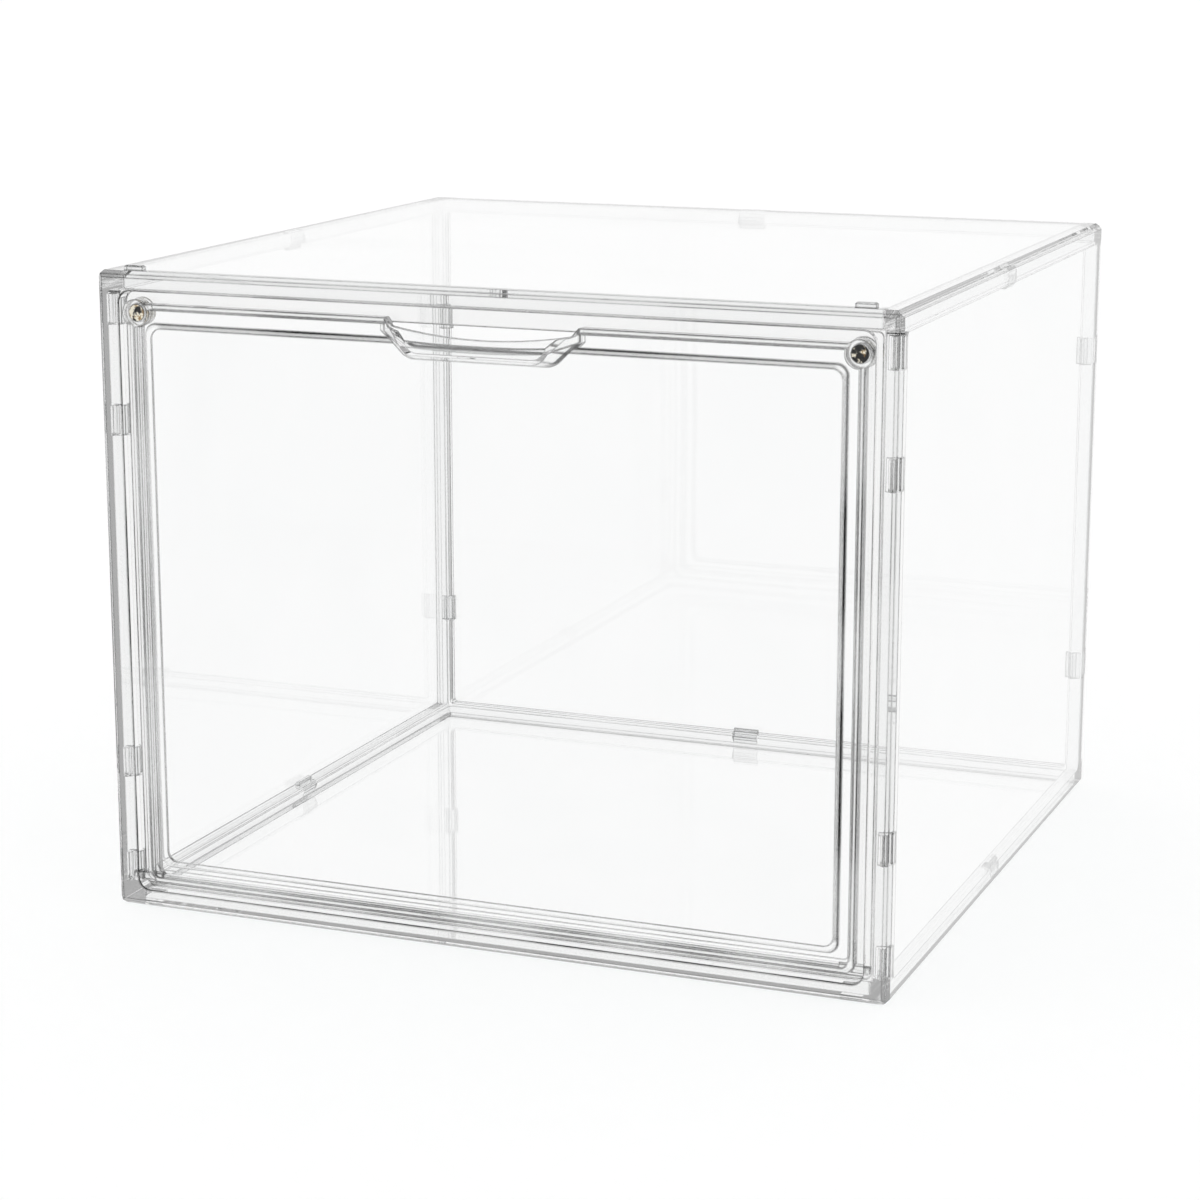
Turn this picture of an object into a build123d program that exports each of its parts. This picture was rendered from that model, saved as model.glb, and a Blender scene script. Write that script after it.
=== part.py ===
"""Clear display case that snaps together from five mitred panels and a front frame, with a
drop-down door held shut by two pairs of disc magnets. Millimetres, +Z up, +Y to the back; the
origin is under the middle of the box that bounds the closed case, pull included."""
import os
from math import sqrt

from build123d import *

os.makedirs("parts", exist_ok=True)

# Case panels
case_width = 330
case_depth = 320
case_height = 262
wall = 2
edge_chamfer = 2.5
rim_depth = 8.5
rim_land = 1
mitre_angle = 45
joint_gap = 0.12
pocket_radius = 2

# Snap tabs that join the panels
tab_length = 12
tab_thickness = 1.6
tab_inset = 3.6
tab_fit = 0.2
tab_flex_room = 1.2
hook_reach = 0.9
hook_height = 1.8
hook_land = 0.6
hook_gap = 0.15
long_edge_shares = (0,)
back_edge_shares = (-0.28, 0.28)
front_edge_shares = (-0.44, -0.27, 0.27, 0.44)

# Stacking locators on the top panel and their sockets under the bottom panel
locator_length = 8
locator_width = 3
locator_height = 2
locator_chamfer = 0.6
locator_side_inset = 15
locator_front_inset = 5.2
locator_fit = 0.3

# Front frame: a face round the recess, and a stop behind the door's edge
frame_side = 10
frame_top = 7.8
frame_bottom = 7.4
frame_corner_radius = 5
frame_edge_radius = 0.6
stop_side = 7
stop_top = 7.2
stop_bottom = 5.6
stop_corner_radius = 3

# Door
door_gap_side = 4
door_gap_top = 4.9
door_gap_bottom = 3
door_setback = 1
door_depth = 4.9
door_seat_gap = 0.2
door_wall = 2
door_rim = 2.4
door_groove_depth = 1.8
door_panel_side = 6.5
door_panel_top = 7.6
door_panel_bottom = 7.5
door_panel_radius = 4.5
door_panel_edge_share = 0.75
door_corner_radius = 3
door_corner_cut = 3
door_edge_radius = 0.4

# Hinge pins at the foot of the door
pin_diameter = 3.8
pin_clearance = 0.08
pin_engagement = 2.5
pin_end_gap = 0.3
pin_root = 6

# Magnets in the two top corners
magnet_diameter = 7
magnet_thickness = 2.5
magnet_fit = 0.1
magnet_chamfer = 0.25
magnet_inset = 16.5
magnet_skin = 0.6
boss_radius = 5.5

# Pull at the top of the door
pull_reach = 6
pull_wall = 1.7
pull_half_width = 42
pull_shoulder_drop = 5.2
pull_foot_half = 31.5
pull_drop = 15.4
pull_face_half = 30.5
pull_face_shoulder_drop = 9
pull_face_foot_half = 27.5
pull_face_drop = 14
pull_rim_drop = 9.5
pull_rim_sag = 1
pull_corner_radius = 8
pull_mouth_half = 40
pull_mouth_half_low = 37.5
pull_back_drop = 3.3
pull_back_sag = 3.7
pull_border = 1.5

# How far a cut runs past what it cuts
overrun = 1

# Places worked out from the sizes above
front = -(case_depth - pull_reach) / 2
box_middle = Vector(0, front + case_depth / 2, case_height / 2)
seat_depth = door_setback + door_depth + door_seat_gap
door_half = case_width / 2 - frame_side - door_gap_side
door_bottom = frame_bottom + door_gap_bottom
door_top = case_height - frame_top - door_gap_top
hinge_depth = door_setback + door_depth / 2
hinge_height = door_bottom + door_depth / 2
pull_base = (pull_half_width, pull_shoulder_drop, pull_foot_half, pull_drop)
pull_front = (pull_face_half, pull_face_shoulder_drop, pull_face_foot_half, pull_face_drop)
magnet_places = [(side * (case_width / 2 - magnet_inset), case_height - magnet_inset) for side in (-1, 1)]

# Directions into the case from each of its faces
from_bottom = Vector(0, 0, 1)
from_top = Vector(0, 0, -1)
from_left = Vector(1, 0, 0)
from_right = Vector(-1, 0, 0)
from_back = Vector(0, -1, 0)
from_front = Vector(0, 1, 0)


def half_size(direction):
    """Half of the case's size along one of its axes."""
    sizes = (case_width * abs(direction.X), case_depth * abs(direction.Y), case_height * abs(direction.Z))
    return sum(sizes) / 2


def outer_face(inward):
    """The plane on one outer face of the case, its normal pointing into the case."""
    along = Vector(0, 1, 0) if inward.X else Vector(1, 0, 0)
    return Plane(origin=box_middle - inward * half_size(inward), x_dir=along, z_dir=inward)


def front_plane(depth):
    """A plane facing forwards, at a depth behind the frame's front face: x to the right, y up."""
    return Plane(origin=(0, front + depth, 0), x_dir=(1, 0, 0), z_dir=(0, -1, 0))


def edge_plane(owner, receiver):
    """The section plane of one edge: x runs in from the receiver's face, y from the owner's."""
    corner = box_middle - owner * half_size(owner) - receiver * half_size(receiver)
    return Plane(origin=corner, x_dir=receiver, z_dir=receiver.cross(owner))


def add_slab(inward):
    """Adds a face's slab, bevelled outside and mitred where it meets its neighbours."""
    face = outer_face(inward)
    trim = edge_chamfer + joint_gap * sqrt(2)
    with BuildSketch(face.offset(edge_chamfer / 2)) as outline:
        Rectangle(2 * half_size(face.x_dir) - trim, 2 * half_size(face.y_dir) - trim)
    extrude(outline.sketch, amount=rim_depth - rim_land - edge_chamfer / 2, taper=mitre_angle)
    extrude(outline.sketch, amount=-edge_chamfer / 2, taper=mitre_angle)


def hollow_slab(inward):
    """Cuts the inside of a slab down to the plate and leaves the rim standing round it."""
    face = outer_face(inward)
    with BuildSketch(face.offset(wall)) as pocket:
        RectangleRounded(
            2 * half_size(face.x_dir) - 2 * rim_depth, 2 * half_size(face.y_dir) - 2 * rim_depth, pocket_radius
        )
    extrude(pocket.sketch, amount=rim_depth, mode=Mode.SUBTRACT)


def add_tabs(owner, receiver, shares):
    """Adds the owner's snap tabs, which pass through the receiver's rim and hook behind it."""
    edge = edge_plane(owner, receiver)
    hook_foot = rim_depth + hook_gap
    for share in shares:
        with BuildSketch(edge.offset(share * 2 * half_size(edge.z_dir))) as tab:
            with BuildLine():
                Polyline(
                    (tab_inset, wall),
                    (tab_inset, hook_foot),
                    (tab_inset - hook_reach, hook_foot),
                    (tab_inset - hook_reach, hook_foot + hook_land),
                    (tab_inset, hook_foot + hook_height),
                    (tab_inset + tab_thickness, hook_foot + hook_height),
                    (tab_inset + tab_thickness, wall),
                    close=True,
                )
            make_face()
        extrude(tab.sketch, amount=tab_length / 2, both=True)


def cut_slots(owner, receiver, shares):
    """Cuts the slots in the receiver's rim that the owner's tabs pass through."""
    edge = edge_plane(owner, receiver)
    slot_width = tab_fit + tab_thickness + tab_flex_room
    for share in shares:
        with BuildSketch(edge.offset(share * 2 * half_size(edge.z_dir))) as slot:
            with Locations((tab_inset - tab_fit, wall)):
                Rectangle(slot_width, rim_depth, align=(Align.MIN, Align.MIN))
        extrude(slot.sketch, amount=tab_length / 2 + tab_fit, both=True, mode=Mode.SUBTRACT)


def rounded_opening(half_width, bottom, top, radius):
    """A rounded rectangle in a front view, from its half width and the heights of its edges."""
    with Locations((0, (bottom + top) / 2)):
        RectangleRounded(2 * half_width, top - bottom, radius)


# Bottom panel, with a tab on three sides and the stacking sockets
with BuildPart() as bottom_panel:
    add_slab(from_bottom)
    hollow_slab(from_bottom)
    for neighbour in (from_left, from_right, from_back):
        add_tabs(from_bottom, neighbour, long_edge_shares)
    with BuildSketch(Plane.XY) as sockets:
        with Locations(*[
            (side * (case_width / 2 - locator_side_inset), front + locator_front_inset) for side in (-1, 1)
        ]):
            Rectangle(locator_length + 2 * locator_fit, locator_width + 2 * locator_fit)
    extrude(sockets.sketch, amount=locator_height + locator_fit, mode=Mode.SUBTRACT)

# Top panel, with a tab on three sides and the stacking locators
with BuildPart() as top_panel:
    add_slab(from_top)
    hollow_slab(from_top)
    for neighbour in (from_left, from_right, from_back):
        add_tabs(from_top, neighbour, long_edge_shares)
    with BuildSketch(Plane.XY.offset(case_height)) as locators:
        with Locations(*[
            (side * (case_width / 2 - locator_side_inset), front + locator_front_inset) for side in (-1, 1)
        ]):
            Rectangle(locator_length, locator_width)
    extrude(locators.sketch, amount=locator_height)
    chamfer(top_panel.faces().sort_by(Axis.Z)[-2:].edges(), length=locator_chamfer)

# Side panels: slots for the top, the bottom and the frame, tabs into the back
with BuildPart() as left_panel:
    add_slab(from_left)
    hollow_slab(from_left)
    for neighbour in (from_bottom, from_top):
        cut_slots(neighbour, from_left, long_edge_shares)
    cut_slots(from_front, from_left, front_edge_shares)
    add_tabs(from_left, from_back, back_edge_shares)

with BuildPart() as right_panel:
    add_slab(from_right)
    hollow_slab(from_right)
    for neighbour in (from_bottom, from_top):
        cut_slots(neighbour, from_right, long_edge_shares)
    cut_slots(from_front, from_right, front_edge_shares)
    add_tabs(from_right, from_back, back_edge_shares)

# Back panel, which only receives tabs
with BuildPart() as back_panel:
    add_slab(from_back)
    hollow_slab(from_back)
    for neighbour in (from_bottom, from_top):
        cut_slots(neighbour, from_back, long_edge_shares)
    for neighbour in (from_left, from_right):
        cut_slots(neighbour, from_back, back_edge_shares)

# Front frame, with the door's recess and stop, the pin sockets and the magnet bosses
with BuildPart() as front_frame:
    add_slab(from_front)
    with BuildSketch(front_plane(rim_depth)):
        rounded_opening(case_width / 2 - rim_depth, rim_depth, case_height - rim_depth, pocket_radius)
    extrude(amount=rim_depth - seat_depth)
    with BuildSketch(front_plane(seat_depth)):
        rounded_opening(case_width / 2 - frame_side, frame_bottom, case_height - frame_top, frame_corner_radius)
    extrude(amount=seat_depth + overrun, mode=Mode.SUBTRACT)
    fillet(front_frame.faces().sort_by(Axis.Y)[0].inner_wires()[0].edges(), radius=frame_edge_radius)
    with BuildSketch(front_plane(rim_depth + overrun)):
        rounded_opening(
            case_width / 2 - frame_side - stop_side,
            frame_bottom + stop_bottom,
            case_height - frame_top - stop_top,
            stop_corner_radius,
        )
    extrude(amount=rim_depth + overrun, mode=Mode.SUBTRACT)
    with BuildSketch(front_plane(seat_depth + magnet_skin + magnet_thickness)):
        with Locations(*magnet_places):
            Circle(boss_radius)
    extrude(amount=magnet_skin + magnet_thickness)
    with BuildSketch(front_plane(seat_depth + magnet_skin)):
        with Locations(*magnet_places):
            Circle(magnet_diameter / 2 + magnet_fit)
    extrude(amount=-magnet_thickness - overrun, mode=Mode.SUBTRACT)
    with BuildSketch(Plane.YZ):
        with Locations((front + hinge_depth, hinge_height)):
            Circle(pin_diameter / 2 + pin_clearance)
    extrude(amount=case_width / 2 - frame_side + pin_engagement + pin_end_gap, both=True, mode=Mode.SUBTRACT)
    for neighbour in (from_left, from_right):
        add_tabs(from_front, neighbour, front_edge_shares)


def pull_section(half_top, shoulder_drop, half_bottom, drop, inset=0, rise=0):
    """Adds a front view of the pull: upright sides, slanted lower corners and a flat foot."""
    Polygon(
        (inset - half_top, door_top + rise),
        (inset - half_top, door_top - shoulder_drop),
        (inset - half_bottom, door_top - drop + inset),
        (half_bottom - inset, door_top - drop + inset),
        (half_top - inset, door_top - shoulder_drop),
        (half_top - inset, door_top + rise),
        align=None,
    )


def raised_panel(inset=0):
    """Adds a front view of the door's raised panel, which is drawn in round the pull."""
    rounded_opening(
        door_half - door_panel_side - inset,
        door_bottom + door_panel_bottom + inset,
        door_top - door_panel_top - inset,
        door_panel_radius,
    )
    with BuildSketch(mode=Mode.SUBTRACT) as pull_surround:
        pull_section(*pull_base, inset=-pull_border - inset, rise=overrun)
        fillet(pull_surround.vertices().group_by(Axis.Y)[0], radius=pull_corner_radius + pull_border + inset)


# Door: rim and raised panel, magnet ears, pull, and the hinge pins moulded on its foot
with BuildPart() as door:
    door_back = door_setback + door_depth
    groove_back = door_setback + door_groove_depth

    # Slab with a rounded foot, cut corners below and round ears above
    with BuildSketch(front_plane(door_back)) as slab:
        with Locations((0, (door_bottom + door_top) / 2)):
            Rectangle(2 * door_half, door_top - door_bottom)
        chamfer(slab.vertices().group_by(Axis.Y)[0], length=door_corner_cut)
        fillet(slab.vertices().group_by(Axis.Y)[-1], radius=door_corner_radius)
    extrude(slab.sketch, amount=door_depth)
    fillet(door.edges().group_by(Axis.Z)[0], radius=door_depth / 2 - pin_clearance)
    outer_edges = door.faces().sort_by(Axis.Y)[0].edges().group_by(Axis.Z)[1:]
    fillet([edge for group in outer_edges for edge in group], radius=door_edge_radius)
    with BuildSketch(front_plane(door_back)) as ears:
        with Locations(*magnet_places):
            Circle(boss_radius)
    extrude(ears.sketch, amount=door_depth)

    # Groove in the front between the rim and the raised panel
    with BuildSketch(front_plane(groove_back)) as groove:
        with Locations((0, (door_bottom + door_top) / 2)):
            RectangleRounded(2 * (door_half - door_rim), door_top - door_bottom - 2 * door_rim, door_corner_radius)
        with BuildSketch(mode=Mode.SUBTRACT):
            raised_panel()
        with Locations(*magnet_places):
            Circle(boss_radius, mode=Mode.SUBTRACT)
    extrude(groove.sketch, amount=door_groove_depth + overrun, mode=Mode.SUBTRACT)
    panel_edges = door.faces().group_by(Axis.Y)[0].sort_by(SortBy.AREA)[-1].edges()
    fillet(panel_edges, radius=door_groove_depth * door_panel_edge_share)

    # Hollow back inside the rim, deeper behind the raised panel
    with BuildSketch(front_plane(groove_back + door_wall)) as hollow:
        rounded_opening(
            door_half - door_rim, door_bottom + door_depth, door_top - door_rim, door_corner_radius
        )
        with Locations(*magnet_places):
            Circle(boss_radius, mode=Mode.SUBTRACT)
    extrude(hollow.sketch, amount=-door_depth, mode=Mode.SUBTRACT)

    with BuildSketch(front_plane(door_setback + door_wall)) as deep_hollow:
        raised_panel(inset=door_wall)
    extrude(deep_hollow.sketch, amount=-door_depth, mode=Mode.SUBTRACT)

    # Magnet pockets, open to the back
    with BuildSketch(front_plane(door_back - magnet_thickness)) as magnet_pockets:
        with Locations(*magnet_places):
            Circle(magnet_diameter / 2 + magnet_fit)
    extrude(magnet_pockets.sketch, amount=-magnet_thickness - overrun, mode=Mode.SUBTRACT)

    # Pull: a scoop that stands forward of the door, open above, its rim sloping to a sagging lip
    with BuildSketch(front_plane(groove_back)) as pull_foot:
        pull_section(*pull_base)
        fillet(pull_foot.vertices().group_by(Axis.Y)[0], radius=pull_corner_radius)
    with BuildSketch(front_plane(-pull_reach)) as pull_face:
        pull_section(*pull_front)
        fillet(pull_face.vertices().group_by(Axis.Y)[0], radius=pull_corner_radius)
    loft([pull_foot.sketch, pull_face.sketch], ruled=True)
    with BuildSketch(front_plane(groove_back)) as scoop_foot:
        pull_section(*pull_base, inset=pull_wall, rise=overrun)
        fillet(scoop_foot.vertices().group_by(Axis.Y)[0], radius=pull_corner_radius - pull_wall)
    with BuildSketch(front_plane(pull_wall - pull_reach)) as scoop_face:
        pull_section(*pull_front, inset=pull_wall, rise=overrun)
        fillet(scoop_face.vertices().group_by(Axis.Y)[0], radius=pull_corner_radius - pull_wall)
    loft([scoop_foot.sketch, scoop_face.sketch], ruled=True, mode=Mode.SUBTRACT)
    with BuildSketch(front_plane(-pull_reach)) as above_rim:
        with BuildLine():
            lip = ThreePointArc(
                (-pull_face_half, door_top - pull_rim_drop),
                (0, door_top - pull_rim_drop - pull_rim_sag),
                (pull_face_half, door_top - pull_rim_drop),
            )
            Polyline(
                lip @ 1,
                (pull_half_width + overrun, door_top - pull_rim_drop),
                (pull_half_width + overrun, door_top + overrun),
                (-pull_half_width - overrun, door_top + overrun),
                (-pull_half_width - overrun, door_top - pull_rim_drop),
                lip @ 0,
            )
        make_face()
    slope = Vector(0, pull_reach + door_setback, pull_rim_drop)
    extrude(above_rim.sketch, amount=slope.length, dir=slope, mode=Mode.SUBTRACT)
    with BuildSketch(front_plane(door_back)) as mouth:
        with BuildLine():
            edge = Polyline(
                (pull_mouth_half_low, door_top - pull_back_drop),
                (pull_mouth_half, door_top),
                (pull_mouth_half, door_top + overrun),
                (-pull_mouth_half, door_top + overrun),
                (-pull_mouth_half, door_top),
                (-pull_mouth_half_low, door_top - pull_back_drop),
            )
            ThreePointArc(edge @ 1, (0, door_top - pull_back_drop - pull_back_sag), edge @ 0)
        make_face()
    extrude(mouth.sketch, amount=door_back + pull_reach + overrun, mode=Mode.SUBTRACT)

    # Hinge pins
    with BuildSketch(Plane.YZ.offset(door_half - pin_root)) as pin:
        with Locations((front + hinge_depth, hinge_height)):
            Circle(pin_diameter / 2)
    extrude(pin.sketch, amount=pin_root + door_gap_side + pin_engagement)
    mirror(about=Plane.YZ)

# Magnets, a pair in the door and a pair in the frame behind them
magnets = {}
for owner, depth in (("door", door_back - magnet_thickness), ("frame", seat_depth + magnet_skin)):
    for side, place in zip(("left", "right"), magnet_places):
        with BuildPart() as magnet:
            with BuildSketch(front_plane(depth + magnet_thickness)):
                with Locations(place):
                    Circle(magnet_diameter / 2)
            extrude(amount=magnet_thickness)
            chamfer(magnet.edges(), length=magnet_chamfer)
        magnets[f"{owner}_magnet_{side}"] = magnet

pieces = {
    "bottom_panel": bottom_panel,
    "top_panel": top_panel,
    "left_panel": left_panel,
    "right_panel": right_panel,
    "back_panel": back_panel,
    "front_frame": front_frame,
    "door": door,
    **magnets,
}
for name, piece in pieces.items():
    piece.part.label = name
    export_step(piece.part, f"parts/{name}.step")
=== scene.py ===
"""Dresses the clear display case: clear moulded panels, frame and door with painted shade along
their edges and walls, plated disc magnets with painted reflections, glints and glow, and a white
studio with dark side screens that also draw the case's edges. Metres, the CAD's frame."""

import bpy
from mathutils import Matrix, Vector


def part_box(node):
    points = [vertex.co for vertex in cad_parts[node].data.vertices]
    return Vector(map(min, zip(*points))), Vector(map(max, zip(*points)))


bl_info = {
    "name": "Clear display case",
    "version": (1, 0, 0),
    "blender": (4, 5, 0),
    "location": "3D View > Sidebar > Display Case",
    "description": "Finishes and studio for a clear display case with a drop-down door",
    "category": "Object",
}

from math import cos, pi, radians

import bpy
from bpy.props import FloatProperty, FloatVectorProperty, PointerProperty
from bpy.types import Operator, Panel, PropertyGroup

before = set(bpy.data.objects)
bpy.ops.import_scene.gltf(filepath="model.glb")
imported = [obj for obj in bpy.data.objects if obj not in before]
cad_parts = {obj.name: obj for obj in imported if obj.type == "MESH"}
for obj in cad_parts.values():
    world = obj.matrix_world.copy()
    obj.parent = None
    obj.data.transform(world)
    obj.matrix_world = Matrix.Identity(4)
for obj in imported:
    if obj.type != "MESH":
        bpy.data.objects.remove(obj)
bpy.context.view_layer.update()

# The way into the case from each piece of its shell
PANELS = {
    "bottom_panel": (0.0, 0.0, 1.0),
    "top_panel": (0.0, 0.0, -1.0),
    "left_panel": (1.0, 0.0, 0.0),
    "right_panel": (-1.0, 0.0, 0.0),
    "back_panel": (0.0, -1.0, 0.0),
}
FRAME_INWARD = (0.0, 1.0, 0.0)
# Where the front frame's face stands, in Y. Rounded edges and walls are found by their distance to it
FRAME_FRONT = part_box("front_frame")[0][1]
# How far a face at 45 degrees to a piece's plate faces its way
MITRE = cos(pi / 4)
ACRYLIC_IOR = 1.49
# How many times light turns inside the plastic before the ray ends in a painted glow, standing in for the
# light that the plastic carries along inside itself
PAINTED_GLOW_DEPTH = 20
# How many dark screens a full ring round the studio has, of which only those at the sides are kept
SCREENS = 8
# How much of an edge's painted dark line is lost where the plastic is denser
LINE_FADE = 0.2
# How strongly a disc gives a painted glow in its plating's colour where light slips behind its face
DISC_GLOW = 0.9
# How far the floor's seen white is lifted towards the backdrop's
FLOOR_LIFT = 0.12

MAGNET_NODES = ("door_magnet_left", "door_magnet_right", "frame_magnet_left", "frame_magnet_right")


# ---- Settings ----------------------------------------------------------------------------

def colour(name, text, value):
    """A colour property with its default."""
    return FloatVectorProperty(
        name=name, description=text, default=value, size=3, min=0.0, max=1.0, subtype="COLOR"
    )


def length(name, text, value):
    """A length property in metres with its default."""
    return FloatProperty(name=name, description=text, default=value, min=0.0, unit="LENGTH", precision=5)


def share(name, text, value):
    """A property between zero and one with its default."""
    return FloatProperty(name=name, description=text, default=value, min=0.0, max=1.0, subtype="FACTOR")


class CasePlasticSettings(PropertyGroup):
    """The clear plastic of the panels, the front frame and the door."""
    clear: colour("Clear", "Colour of light that has passed through the plastic", (0.978, 0.98, 0.98))
    dense: colour("Dense", "Share of that light left where the plastic is denser", (0.994, 0.995, 0.995))
    thick: colour("Thick", "Colour of light that has passed through the frame", (0.93, 0.931, 0.929))
    # Painted shade: the walls across a piece's plate get a darker colour, standing in for the greyer look
    # that bent and reflected light gives them
    wall: colour("Wall", "Colour of the walls that stand across a piece's plate", (0.86, 0.865, 0.865))
    # Painted shade: the dark lines along the edges stand in for dark surroundings that the edges bend into
    # view
    panel_painted_line: colour("Panel lines", "Colour of the panels' edges", (0.05, 0.05, 0.052))
    front_painted_line: colour("Front lines", "Colour of the frame's and the door's edges", (0.0, 0.0, 0.0))
    shadow: colour("Shadow", "How much light a wall lets through on to the floor", (0.97, 0.975, 0.975))
    # Widths of the painted dark lines along the edges
    panel_edge: length("Panel edge", "Width of the darker line along a panel's edges", 0.0005)
    frame_edge: length("Frame edge", "Width of the darker line along the front frame's edges", 0.0008)
    door_edge: length("Door edge", "Width of the darker line along the door's edges", 0.0008)
    frame_round: length("Frame rounding", "Depth of the rounded edge round the frame's recess", 0.0006)
    door_round: length("Door rounding", "Depth of the rounded edges on the front of the door", 0.00135)
    door_setback: length("Door setback", "How far the door's front stands behind the frame's", 0.001)
    # Painted glow: a ray that has turned inside the plastic too many times ends in an emission of this
    # brightness
    painted_piped_glow: share("Piped light", "Brightness of light that the plastic carries along inside itself", 0.4)
    ripple: length("Ripple", "Height of the moulding's ripple", 0.00002)
    ripple_size: length("Ripple size", "Distance between the moulding's ripples", 0.05)
    scratch_roughness: share("Scratch roughness", "How dull a fine scratch is", 0.12)
    haze_roughness: share("Haze roughness", "How dull the handling haze is", 0.02)


class CaseMagnetSettings(PropertyGroup):
    """The plated discs that hold the door shut."""
    plating: colour("Plating", "Bright nickel plating", (0.95, 0.92, 0.84))
    # Painted glints: warm patches in the plating, standing in for gold glints
    painted_gold_glint: colour("Bronze", "Plating that has taken on a brown tone", (0.50, 0.36, 0.16))
    # Painted reflection: black patches in the plating, standing in for dark surroundings mirrored in it
    dark: colour("Dark", "Tarnished patches", (0.02, 0.019, 0.017))
    # Painted reflection: how much more of the right discs' plating gets the black patches than the left's
    uneven: FloatProperty(
        name="Uneven tarnish", description="How much more the right discs are tarnished than the left",
        default=0.06, min=0.0, max=0.5,
    )
    dimple: length("Dimple", "Height of the dimples in the plating", 0.0001)
    dimple_size: length("Dimple size", "Distance between the dimples", 0.0022)


class CaseStudioSettings(PropertyGroup):
    """The white studio, its dark screens and the camera."""
    floor: colour("Floor", "Colour of the floor", (0.9, 0.9, 0.9))
    floor_size: length("Floor size", "Length of the floor's sides", 60.0)
    screen: share("Screen", "Brightness of the dark screens seen in the case's edges", 0.0)
    backdrop: share("Backdrop", "Brightness of the white backdrop", 1.0)
    lens: FloatProperty(
        name="Lens", description="Focal length of the camera", default=91.648, min=10.0, unit="CAMERA"
    )
    place: FloatVectorProperty(
        name="Camera place", description="Where the camera stands", default=(0.46493, -1.19925, 0.40745),
        size=3, subtype="TRANSLATION"
    )
    heading: FloatProperty(
        name="Heading", description="How far the camera is turned to the left", default=radians(21.75),
        subtype="ANGLE"
    )
    tilt: FloatProperty(
        name="Tilt", description="How far the camera looks down", default=radians(13.071), subtype="ANGLE"
    )


# ---- Node helpers ------------------------------------------------------------------------

class Wiring:
    """Adds nodes to one tree and joins them."""

    def __init__(self, tree):
        self.nodes = tree.nodes
        self.links = tree.links

    def feed(self, socket, value):
        """Joins another node's output to a socket, or sets the socket's value."""
        if isinstance(value, bpy.types.NodeSocket):
            self.links.new(value, socket)
        elif value is not None:
            socket.default_value = value

    def add(self, kind, inputs=None, **settings):
        """Adds a node, sets its settings and feeds its inputs by name or number."""
        node = self.nodes.new(kind)
        for key, value in settings.items():
            setattr(node, key, value)
        for key, value in (inputs or {}).items():
            self.feed(node.inputs[key], value)
        return node

    def math(self, operation, *values):
        """A Math node's result."""
        node = self.add("ShaderNodeMath", dict(enumerate(values)), operation=operation)
        return node.outputs[0]

    def ramp(self, value, low, high, start=0.0, end=1.0):
        """A value mapped smoothly from one range to another and held at its ends."""
        node = self.add(
            "ShaderNodeMapRange",
            {"Value": value, "From Min": low, "From Max": high, "To Min": start, "To Max": end},
            interpolation_type="SMOOTHSTEP",
        )
        return node.outputs["Result"]

    def blend(self, factor, first, second):
        """A colour between two others."""
        node = self.add("ShaderNodeMix", data_type="RGBA")
        self.feed(node.inputs["Factor"], factor)
        self.feed(node.inputs["A"], first)
        self.feed(node.inputs["B"], second)
        return node.outputs["Result"]

    def mix(self, factor, first, second):
        """A Mix Shader node between two shader nodes."""
        shaders = {0: factor, 1: first.outputs[0], 2: second.outputs[0]}
        return self.add("ShaderNodeMixShader", shaders)


def opaque(rgb):
    """A colour property's value with full alpha."""
    return (*rgb, 1.0)


def new_material(name):
    """An empty material and the wiring of its nodes."""
    material = bpy.data.materials.new(name)
    material.use_nodes = True
    material.node_tree.nodes.clear()
    return material, Wiring(material.node_tree)


def new_group(name, inputs, outputs):
    """A shader node group with its sockets, and the nodes that stand for them inside it."""
    group = bpy.data.node_groups.new(name, "ShaderNodeTree")
    for label, kind, value in inputs:
        socket = group.interface.new_socket(label, in_out="INPUT", socket_type=kind)
        socket.default_value = value
    for label, kind in outputs:
        group.interface.new_socket(label, in_out="OUTPUT", socket_type=kind)
    wiring = Wiring(group)
    entry = wiring.add("NodeGroupInput")
    leave = wiring.add("NodeGroupOutput")
    return group, wiring, entry.outputs, leave.inputs


def group_named(name, build):
    """The shader node group of that name, built the first time it is asked for."""
    return bpy.data.node_groups.get(name) or build(name)


# ---- Effects that several finishes share --------------------------------------------------

def build_moulding_ripple(name):
    """The faint uneven surface of a large moulding, and where its plastic is a little denser."""
    group, wiring, entry, leave = new_group(
        name,
        [("Size", "NodeSocketFloat", 0.05)],
        [("Height", "NodeSocketFloat"), ("Density", "NodeSocketFloat")],
    )
    place = wiring.add("ShaderNodeTexCoord").outputs["Object"]
    fineness = wiring.math("DIVIDE", 1.0, entry["Size"])
    waves = wiring.add("ShaderNodeTexNoise", {"Vector": place, "Scale": fineness, "Detail": 0.0})
    wiring.feed(leave["Height"], waves.outputs["Fac"])
    wiring.feed(leave["Density"], wiring.ramp(waves.outputs["Fac"], 0.42, 0.62))
    return group


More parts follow.
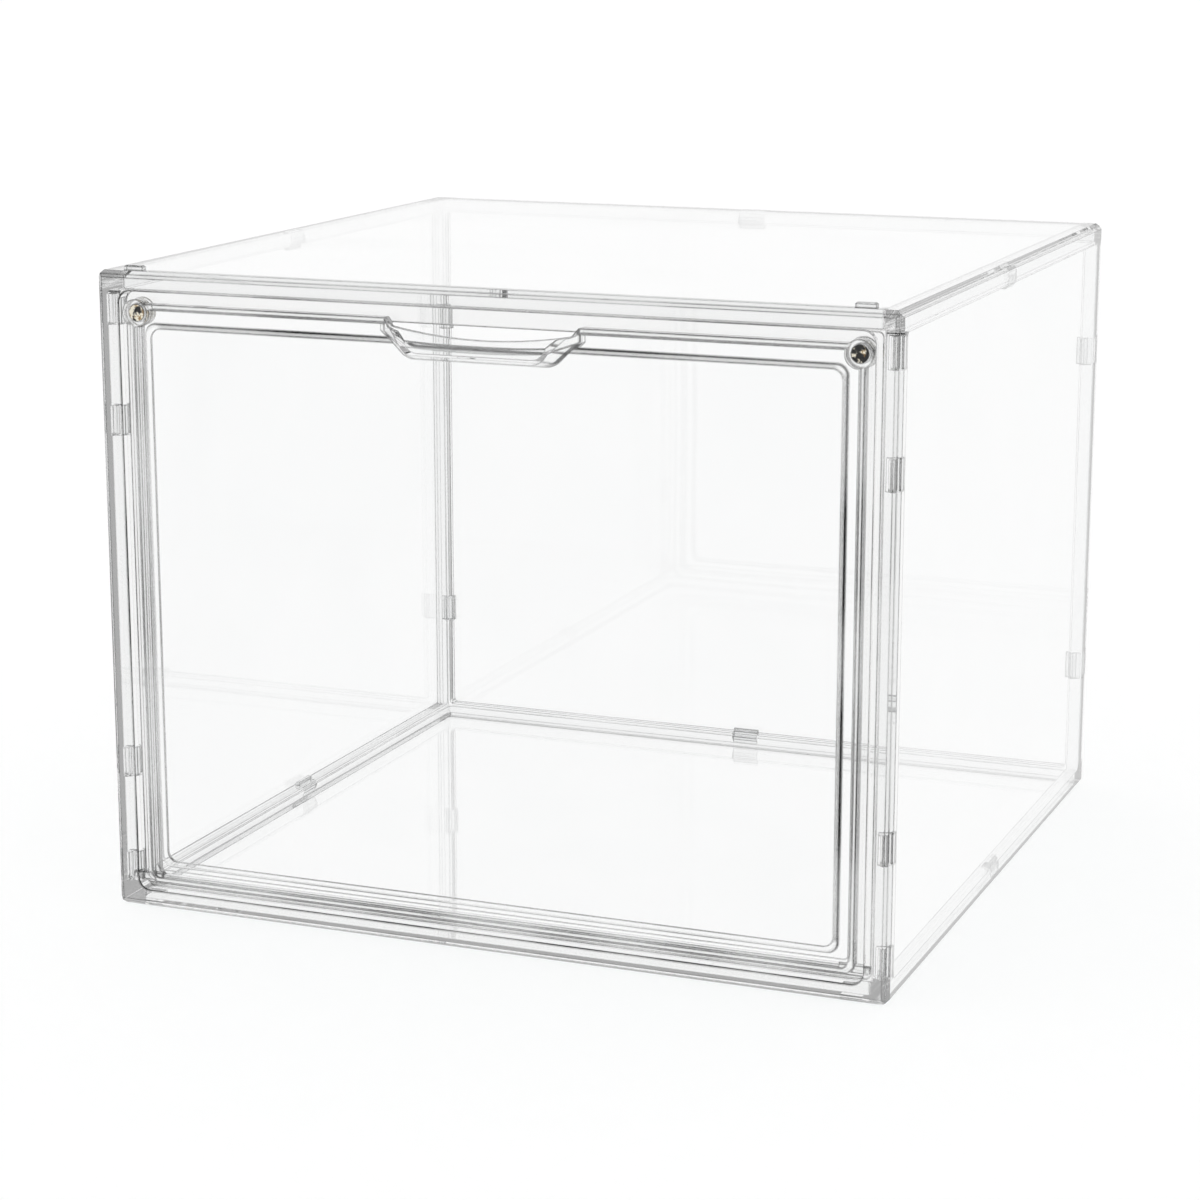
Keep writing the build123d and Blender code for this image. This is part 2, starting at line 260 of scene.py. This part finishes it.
def build_handling_wear(name):
    """Fine scratches in patches, and the haze that hands and cloths leave."""
    group, wiring, entry, leave = new_group(
        name,
        [("Scratch Size", "NodeSocketFloat", 0.02), ("Amount", "NodeSocketFloat", 0.5)],
        [("Scratches", "NodeSocketFloat"), ("Haze", "NodeSocketFloat")],
    )
    place = wiring.add("ShaderNodeTexCoord").outputs["Object"]
    fineness = wiring.math("DIVIDE", 1.0, entry["Scratch Size"])
    patches = wiring.add(
        "ShaderNodeTexNoise", {"Vector": place, "Scale": 12.0, "Detail": 1.0}
    ).outputs["Fac"]
    laid = wiring.add(
        "ShaderNodeMapping", {"Vector": place, "Rotation": (0.5, 0.5, 0.5), "Scale": (1.0, 24.0, 24.0)}
    )
    strands = wiring.add(
        "ShaderNodeTexNoise", {"Vector": laid.outputs[0], "Scale": fineness, "Detail": 1.0}
    )
    lines = wiring.ramp(strands.outputs["Fac"], 0.66, 0.70)
    found = wiring.math("MULTIPLY", wiring.ramp(patches, 0.55, 0.70), entry["Amount"])
    wiring.feed(leave["Scratches"], wiring.math("MULTIPLY", lines, found))
    wiring.feed(leave["Haze"], wiring.ramp(patches, 0.45, 0.75))
    return group


def build_edge_lines(name):
    """Masks of a moulding's edges, where its faces turn sharply or are rounded between two depths
    from the front, and of its walls, which stand across the way its plate faces. The plastic's
    painted shade, its dark edge lines and its darker walls, is laid by these masks."""
    group, wiring, entry, leave = new_group(
        name,
        [
            ("Edge Normal", "NodeSocketVector", (0.0, 0.0, 0.0)),
            ("Plate Way", "NodeSocketVector", (0.0, 1.0, 0.0)),
            ("Rounded From", "NodeSocketFloat", 0.0),
            ("Rounded To", "NodeSocketFloat", 0.0),
            ("Walls From", "NodeSocketFloat", -1.0),
            ("Weakening", "NodeSocketFloat", 0.0),
        ],
        [("Edges", "NodeSocketFloat"), ("Walls", "NodeSocketFloat")],
    )
    normal = wiring.add("ShaderNodeNewGeometry").outputs["Normal"]
    place = wiring.add("ShaderNodeTexCoord").outputs
    turn = wiring.add(
        "ShaderNodeVectorMath", {0: entry["Edge Normal"], 1: normal}, operation="DOT_PRODUCT"
    )
    sharp = wiring.ramp(turn.outputs["Value"], 0.998, 0.982)
    facing = wiring.add(
        "ShaderNodeVectorMath", {0: place["Normal"], 1: entry["Plate Way"]}, operation="DOT_PRODUCT"
    )
    lean = wiring.math("ABSOLUTE", facing.outputs["Value"])
    curved = wiring.math("MULTIPLY", wiring.ramp(lean, 0.04, 0.09), wiring.ramp(lean, 0.82, 0.75))
    bevelled = wiring.math("COMPARE", lean, MITRE, 0.012)
    depth = wiring.add("ShaderNodeSeparateXYZ", {0: place["Object"]}).outputs["Y"]
    behind = wiring.math("GREATER_THAN", depth, entry["Rounded From"])
    before = wiring.math("LESS_THAN", depth, entry["Rounded To"])
    walled = wiring.math("GREATER_THAN", depth, entry["Walls From"])
    rounded = wiring.math("MULTIPLY", wiring.math("MULTIPLY", curved, behind), before)
    rounded = wiring.math("MULTIPLY", rounded, wiring.math("SUBTRACT", 1.0, bevelled))
    strength = wiring.math("SUBTRACT", 1.0, entry["Weakening"])
    wiring.feed(leave["Edges"], wiring.math("MULTIPLY", wiring.math("MAXIMUM", sharp, rounded), strength))
    wiring.feed(leave["Walls"], wiring.math("MULTIPLY", wiring.ramp(lean, 0.65, 0.55), walled))
    return group


# ---- Finishes ----------------------------------------------------------------------------

def clear_plastic(name, settings, clear, line, edge_width, plate_way, mitred=True, rounded=(0.0, 0.0)):
    """Clear moulded plastic with painted shade: dark lines along its edges and a darker tone on its
    walls, and a painted glow where light has turned inside it too often. Its mitres, which turn inwards
    at 45 degrees and are pressed against the next piece's, let light straight through."""
    material, wiring = new_material(name)

    ripple = wiring.add("ShaderNodeGroup", node_tree=group_named("Moulding ripple", build_moulding_ripple))
    wiring.feed(ripple.inputs["Size"], settings.ripple_size)
    wear = wiring.add("ShaderNodeGroup", node_tree=group_named("Handling wear", build_handling_wear))
    softened = wiring.add("ShaderNodeBevel", {"Radius": edge_width}, samples=4)
    lines = wiring.add("ShaderNodeGroup", node_tree=group_named("Edge lines", build_edge_lines))
    wiring.feed(lines.inputs["Edge Normal"], softened.outputs["Normal"])
    wiring.feed(lines.inputs["Plate Way"], plate_way)
    wiring.feed(lines.inputs["Rounded From"], rounded[0])
    wiring.feed(lines.inputs["Rounded To"], rounded[1])
    wiring.feed(lines.inputs["Walls From"], FRAME_FRONT)
    wiring.feed(lines.inputs["Weakening"], wiring.math("MULTIPLY", ripple.outputs["Density"], LINE_FADE))

    dense = [part * thinned for part, thinned in zip(clear, settings.dense)]
    body = wiring.blend(ripple.outputs["Density"], opaque(clear), opaque(dense))
    # Painted shade on the walls that stand across the plate
    body = wiring.blend(lines.outputs["Walls"], body, opaque(settings.wall))
    # Painted shade: dark lines along the edges
    shade = wiring.blend(lines.outputs["Edges"], body, opaque(line))
    dull = wiring.math("MULTIPLY", wear.outputs["Scratches"], settings.scratch_roughness)
    dull = wiring.math("MULTIPLY_ADD", wear.outputs["Haze"], settings.haze_roughness, dull)
    waves = wiring.add(
        "ShaderNodeBump",
        {"Height": ripple.outputs["Height"], "Distance": settings.ripple, "Strength": 1.0,
         "Normal": softened.outputs["Normal"]},
    )
    plastic = wiring.add(
        "ShaderNodeBsdfPrincipled",
        {"Base Color": shade, "Roughness": dull, "IOR": ACRYLIC_IOR, "Transmission Weight": 1.0,
         "Normal": waves.outputs["Normal"]},
    )

    rays = wiring.add("ShaderNodeLightPath").outputs
    # Painted glow: rays that have turned inside the plastic too often end in an emission instead of going
    # dark
    painted_piped_glow = wiring.add("ShaderNodeEmission", {"Color": opaque([settings.painted_piped_glow] * 3), "Strength": 1.0})
    deep = wiring.math("GREATER_THAN", rays["Ray Depth"], PAINTED_GLOW_DEPTH)
    surface = wiring.mix(deep, plastic, painted_piped_glow)
    if mitred:
        geometry = wiring.add("ShaderNodeNewGeometry").outputs
        outward = wiring.math("MULTIPLY_ADD", geometry["Backfacing"], -2.0, 1.0)
        facing = wiring.add(
            "ShaderNodeVectorMath", {0: geometry["True Normal"], 1: plate_way}, operation="DOT_PRODUCT"
        ).outputs["Value"]
        facing = wiring.math("MULTIPLY", facing, outward)
        mitre = wiring.math("COMPARE", facing, MITRE, 0.02)
        pressed = wiring.add("ShaderNodeBsdfTransparent")
        surface = wiring.mix(mitre, surface, pressed)
    through = wiring.add("ShaderNodeBsdfTransparent", {"Color": opaque(settings.shadow)})
    lighting = wiring.math("MAXIMUM", rays["Is Shadow Ray"], rays["Is Diffuse Ray"])
    surface = wiring.mix(lighting, surface, through)
    wiring.add("ShaderNodeOutputMaterial", {"Surface": surface.outputs[0]})
    return material


def plated_disc(name, settings):
    """Nickel plating, dimpled, with painted dark reflections and painted gold glints in patches. A
    disc's face lies on its pocket's floor, so some light slips in behind it and would go dark there:
    there the disc gives a painted glow in the plating's colour."""
    material, wiring = new_material(name)
    place = wiring.add("ShaderNodeTexCoord").outputs["Object"]
    fineness = 1.0 / settings.dimple_size

    patches = wiring.add(
        "ShaderNodeTexNoise", {"Vector": place, "Scale": fineness * 0.7, "Detail": 3.0, "Roughness": 0.6}
    ).outputs["Fac"]
    warm = wiring.add(
        "ShaderNodeTexNoise", {"Vector": place, "Scale": fineness * 1.6, "Detail": 2.0}
    ).outputs["Fac"]
    across = wiring.add("ShaderNodeSeparateXYZ", {0: place}).outputs["X"]
    # More painted dark reflection on the right discs than on the left
    patches = wiring.math("MULTIPLY_ADD", wiring.math("SIGN", across), settings.uneven, patches)
    # Painted gold glints and painted dark reflections in patches
    metal = wiring.blend(wiring.ramp(warm, 0.52, 0.68), opaque(settings.plating), opaque(settings.painted_gold_glint))
    shade = wiring.blend(wiring.ramp(patches, 0.46, 0.54), metal, opaque(settings.dark))
    dimples = wiring.add("ShaderNodeTexVoronoi", {"Vector": place, "Scale": fineness}, feature="SMOOTH_F1")
    wiring.feed(dimples.inputs["Smoothness"], 0.4)
    bumps = wiring.add(
        "ShaderNodeBump",
        {"Height": dimples.outputs["Distance"], "Distance": settings.dimple, "Strength": 1.0},
    )
    plating = wiring.add(
        "ShaderNodeBsdfPrincipled",
        {"Base Color": shade, "Metallic": 1.0, "Roughness": wiring.ramp(patches, 0.35, 0.6, 0.12, 0.32),
         "Normal": bumps.outputs["Normal"]},
    )
    # Painted glow in the plating's colour where a ray reaches the back of a disc's face
    glow = wiring.add("ShaderNodeEmission", {"Color": shade, "Strength": DISC_GLOW})
    inside = wiring.add("ShaderNodeNewGeometry").outputs["Backfacing"]
    surface = wiring.mix(inside, plating, glow)
    wiring.add("ShaderNodeOutputMaterial", {"Surface": surface.outputs[0]})
    return material


def floor_finish(name, settings):
    """A matt white floor that reads as white as the backdrop where nothing shades it."""
    material, wiring = new_material(name)
    place = wiring.add("ShaderNodeTexCoord").outputs["Object"]
    grain = wiring.add("ShaderNodeTexNoise", {"Vector": place, "Scale": 60.0, "Detail": 2.0}).outputs["Fac"]
    paper = tuple(0.985 * part for part in settings.floor)
    shade = wiring.blend(grain, opaque(settings.floor), opaque(paper))
    matt = wiring.add("ShaderNodeBsdfDiffuse", {"Color": shade})
    rays = wiring.add("ShaderNodeLightPath").outputs
    seen = wiring.math("MAXIMUM", rays["Is Camera Ray"], rays["Is Glossy Ray"])
    seen = wiring.math("MAXIMUM", seen, rays["Is Transmission Ray"])
    lift = wiring.add("ShaderNodeEmission", {"Strength": wiring.math("MULTIPLY", seen, FLOOR_LIFT)})
    surface = wiring.add("ShaderNodeAddShader", {0: matt.outputs[0], 1: lift.outputs[0]})
    wiring.add("ShaderNodeOutputMaterial", {"Surface": surface.outputs[0]})
    return material


def dress(nodes, material):
    """Gives CAD nodes their finish through their objects' own material slots."""
    for name in nodes:
        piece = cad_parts[name]
        for slot in piece.material_slots:
            slot.link = "OBJECT"
            slot.material = material


# ---- Studio ------------------------------------------------------------------------------

def build_studio_world(settings):
    """White all round, with dark screens at the sides that only gloss and clear plastic show."""
    world = bpy.data.worlds.new("white_studio")
    world.use_nodes = True
    world.node_tree.nodes.clear()
    wiring = Wiring(world.node_tree)
    way = wiring.add("ShaderNodeTexCoord").outputs["Generated"]
    parts = wiring.add("ShaderNodeSeparateXYZ", {0: way}).outputs

    heading = wiring.math("ARCTAN2", wiring.math("MULTIPLY", parts["X"], -1.0), parts["Y"])
    wave = wiring.math("COSINE", wiring.math("MULTIPLY", heading, SCREENS))
    screens = wiring.ramp(wiring.math("MULTIPLY", wave, -1.0), -0.1, 0.35)
    sideways = wiring.ramp(wiring.math("ABSOLUTE", wiring.math("SINE", heading)), 0.68, 0.76)
    above_floor = wiring.ramp(parts["Z"], -0.70, -0.64)
    ceiling = wiring.ramp(parts["Z"], 0.45, 0.55)
    dark = wiring.math("MULTIPLY", wiring.math("MULTIPLY", screens, sideways), above_floor)
    dark = wiring.math("MAXIMUM", dark, ceiling)
    level = wiring.math("MULTIPLY_ADD", dark, settings.screen - 1.0, settings.backdrop)
    shade = wiring.add("ShaderNodeCombineColor", {0: level, 1: level, 2: level})

    white = opaque((1.0, 1.0, 1.0))
    plain = wiring.add("ShaderNodeBackground", {"Color": white, "Strength": settings.backdrop})
    screened = wiring.add("ShaderNodeBackground", {"Color": shade.outputs[0], "Strength": 1.0})
    rays = wiring.add("ShaderNodeLightPath").outputs
    mirrored = wiring.math("MAXIMUM", rays["Is Glossy Ray"], rays["Is Transmission Ray"])
    sky = wiring.mix(mirrored, plain, screened)
    wiring.add("ShaderNodeOutputWorld", {"Surface": sky.outputs[0]})
    return world


def build_floor(settings):
    """The floor: one large square, left out of what gloss and clear plastic show."""
    half = settings.floor_size / 2
    mesh = bpy.data.meshes.new("floor")
    corners = [(-half, -half, 0.0), (half, -half, 0.0), (half, half, 0.0), (-half, half, 0.0)]
    mesh.from_pydata(corners, [], [(0, 1, 2, 3)])
    mesh.materials.append(floor_finish("floor_white", settings))
    floor = bpy.data.objects.new("floor", mesh)
    bpy.context.scene.collection.objects.link(floor)
    floor.visible_glossy = False
    floor.visible_transmission = False


def build_camera(settings):
    """The camera at the photograph's viewing angle."""
    lens = bpy.data.cameras.new("camera")
    lens.lens = settings.lens
    lens.sensor_width = 36.0
    camera = bpy.data.objects.new("camera", lens)
    camera.location = settings.place
    camera.rotation_euler = (pi / 2 - settings.tilt, 0.0, settings.heading)
    bpy.context.scene.collection.objects.link(camera)
    bpy.context.scene.camera = camera


# ---- Operators ---------------------------------------------------------------------------

class CASE_OT_dress_panels(Operator):
    """Give the five panels their clear plastic"""
    bl_idname = "case.dress_panels"
    bl_label = "Dress Panels"

    def execute(self, context):
        settings = context.scene.case_plastic
        for name, inward in PANELS.items():
            plastic = clear_plastic(
                f"{name}_plastic", settings, settings.clear, settings.panel_painted_line, settings.panel_edge,
                inward,
            )
            dress([name], plastic)
        return {"FINISHED"}


class CASE_OT_dress_front_frame(Operator):
    """Give the front frame its clear plastic"""
    bl_idname = "case.dress_front_frame"
    bl_label = "Dress Front Frame"

    def execute(self, context):
        settings = context.scene.case_plastic
        rounded = (FRAME_FRONT, FRAME_FRONT + settings.frame_round)
        plastic = clear_plastic(
            "frame_plastic", settings, settings.thick, settings.front_painted_line, settings.frame_edge,
            FRAME_INWARD, rounded=rounded,
        )
        dress(["front_frame"], plastic)
        return {"FINISHED"}


class CASE_OT_dress_door(Operator):
    """Give the door its clear plastic"""
    bl_idname = "case.dress_door"
    bl_label = "Dress Door"

    def execute(self, context):
        settings = context.scene.case_plastic
        door_front = FRAME_FRONT + settings.door_setback
        rounded = (door_front, door_front + settings.door_round)
        plastic = clear_plastic(
            "door_plastic", settings, settings.clear, settings.front_painted_line, settings.door_edge,
            FRAME_INWARD, mitred=False, rounded=rounded,
        )
        dress(["door"], plastic)
        return {"FINISHED"}


class CASE_OT_dress_magnets(Operator):
    """Give the four disc magnets their plating, with painted reflections, painted glints and a painted glow
    """
    bl_idname = "case.dress_magnets"
    bl_label = "Dress Magnets"

    def execute(self, context):
        dress(MAGNET_NODES, plated_disc("magnet_plating", context.scene.case_magnets))
        return {"FINISHED"}


class CASE_OT_set_stage(Operator):
    """Set up the white studio, its dark screens and the camera"""
    bl_idname = "case.set_stage"
    bl_label = "Set Stage"

    def execute(self, context):
        scene = context.scene
        settings = scene.case_studio
        scene.world = build_studio_world(settings)
        build_floor(settings)
        build_camera(settings)
        scene.view_settings.view_transform = "Standard"
        scene.cycles.max_bounces = 48
        scene.cycles.transmission_bounces = 48
        scene.cycles.glossy_bounces = 24
        scene.cycles.transparent_max_bounces = 48
        return {"FINISHED"}


class CASE_PT_display_case(Panel):
    """Settings and steps of the display case"""
    bl_label = "Display Case"
    bl_idname = "CASE_PT_display_case"
    bl_space_type = "VIEW_3D"
    bl_region_type = "UI"
    bl_category = "Display Case"

    def draw(self, context):
        layout = self.layout
        for settings in (context.scene.case_plastic, context.scene.case_magnets, context.scene.case_studio):
            box = layout.box()
            for name in settings.__annotations__:
                box.prop(settings, name)
        for operator in STEPS:
            layout.operator(operator.bl_idname)


STEPS = (
    CASE_OT_dress_panels,
    CASE_OT_dress_front_frame,
    CASE_OT_dress_door,
    CASE_OT_dress_magnets,
    CASE_OT_set_stage,
)
CLASSES = (CasePlasticSettings, CaseMagnetSettings, CaseStudioSettings, *STEPS, CASE_PT_display_case)


def register():
    for kind in CLASSES:
        bpy.utils.register_class(kind)
    bpy.types.Scene.case_plastic = PointerProperty(type=CasePlasticSettings)
    bpy.types.Scene.case_magnets = PointerProperty(type=CaseMagnetSettings)
    bpy.types.Scene.case_studio = PointerProperty(type=CaseStudioSettings)


def unregister():
    del bpy.types.Scene.case_studio
    del bpy.types.Scene.case_magnets
    del bpy.types.Scene.case_plastic
    for kind in reversed(CLASSES):
        bpy.utils.unregister_class(kind)


def main():
    register()
    bpy.ops.case.dress_panels()
    bpy.ops.case.dress_front_frame()
    bpy.ops.case.dress_door()
    bpy.ops.case.dress_magnets()
    bpy.ops.case.set_stage()


if __name__ == "__main__":
    main()
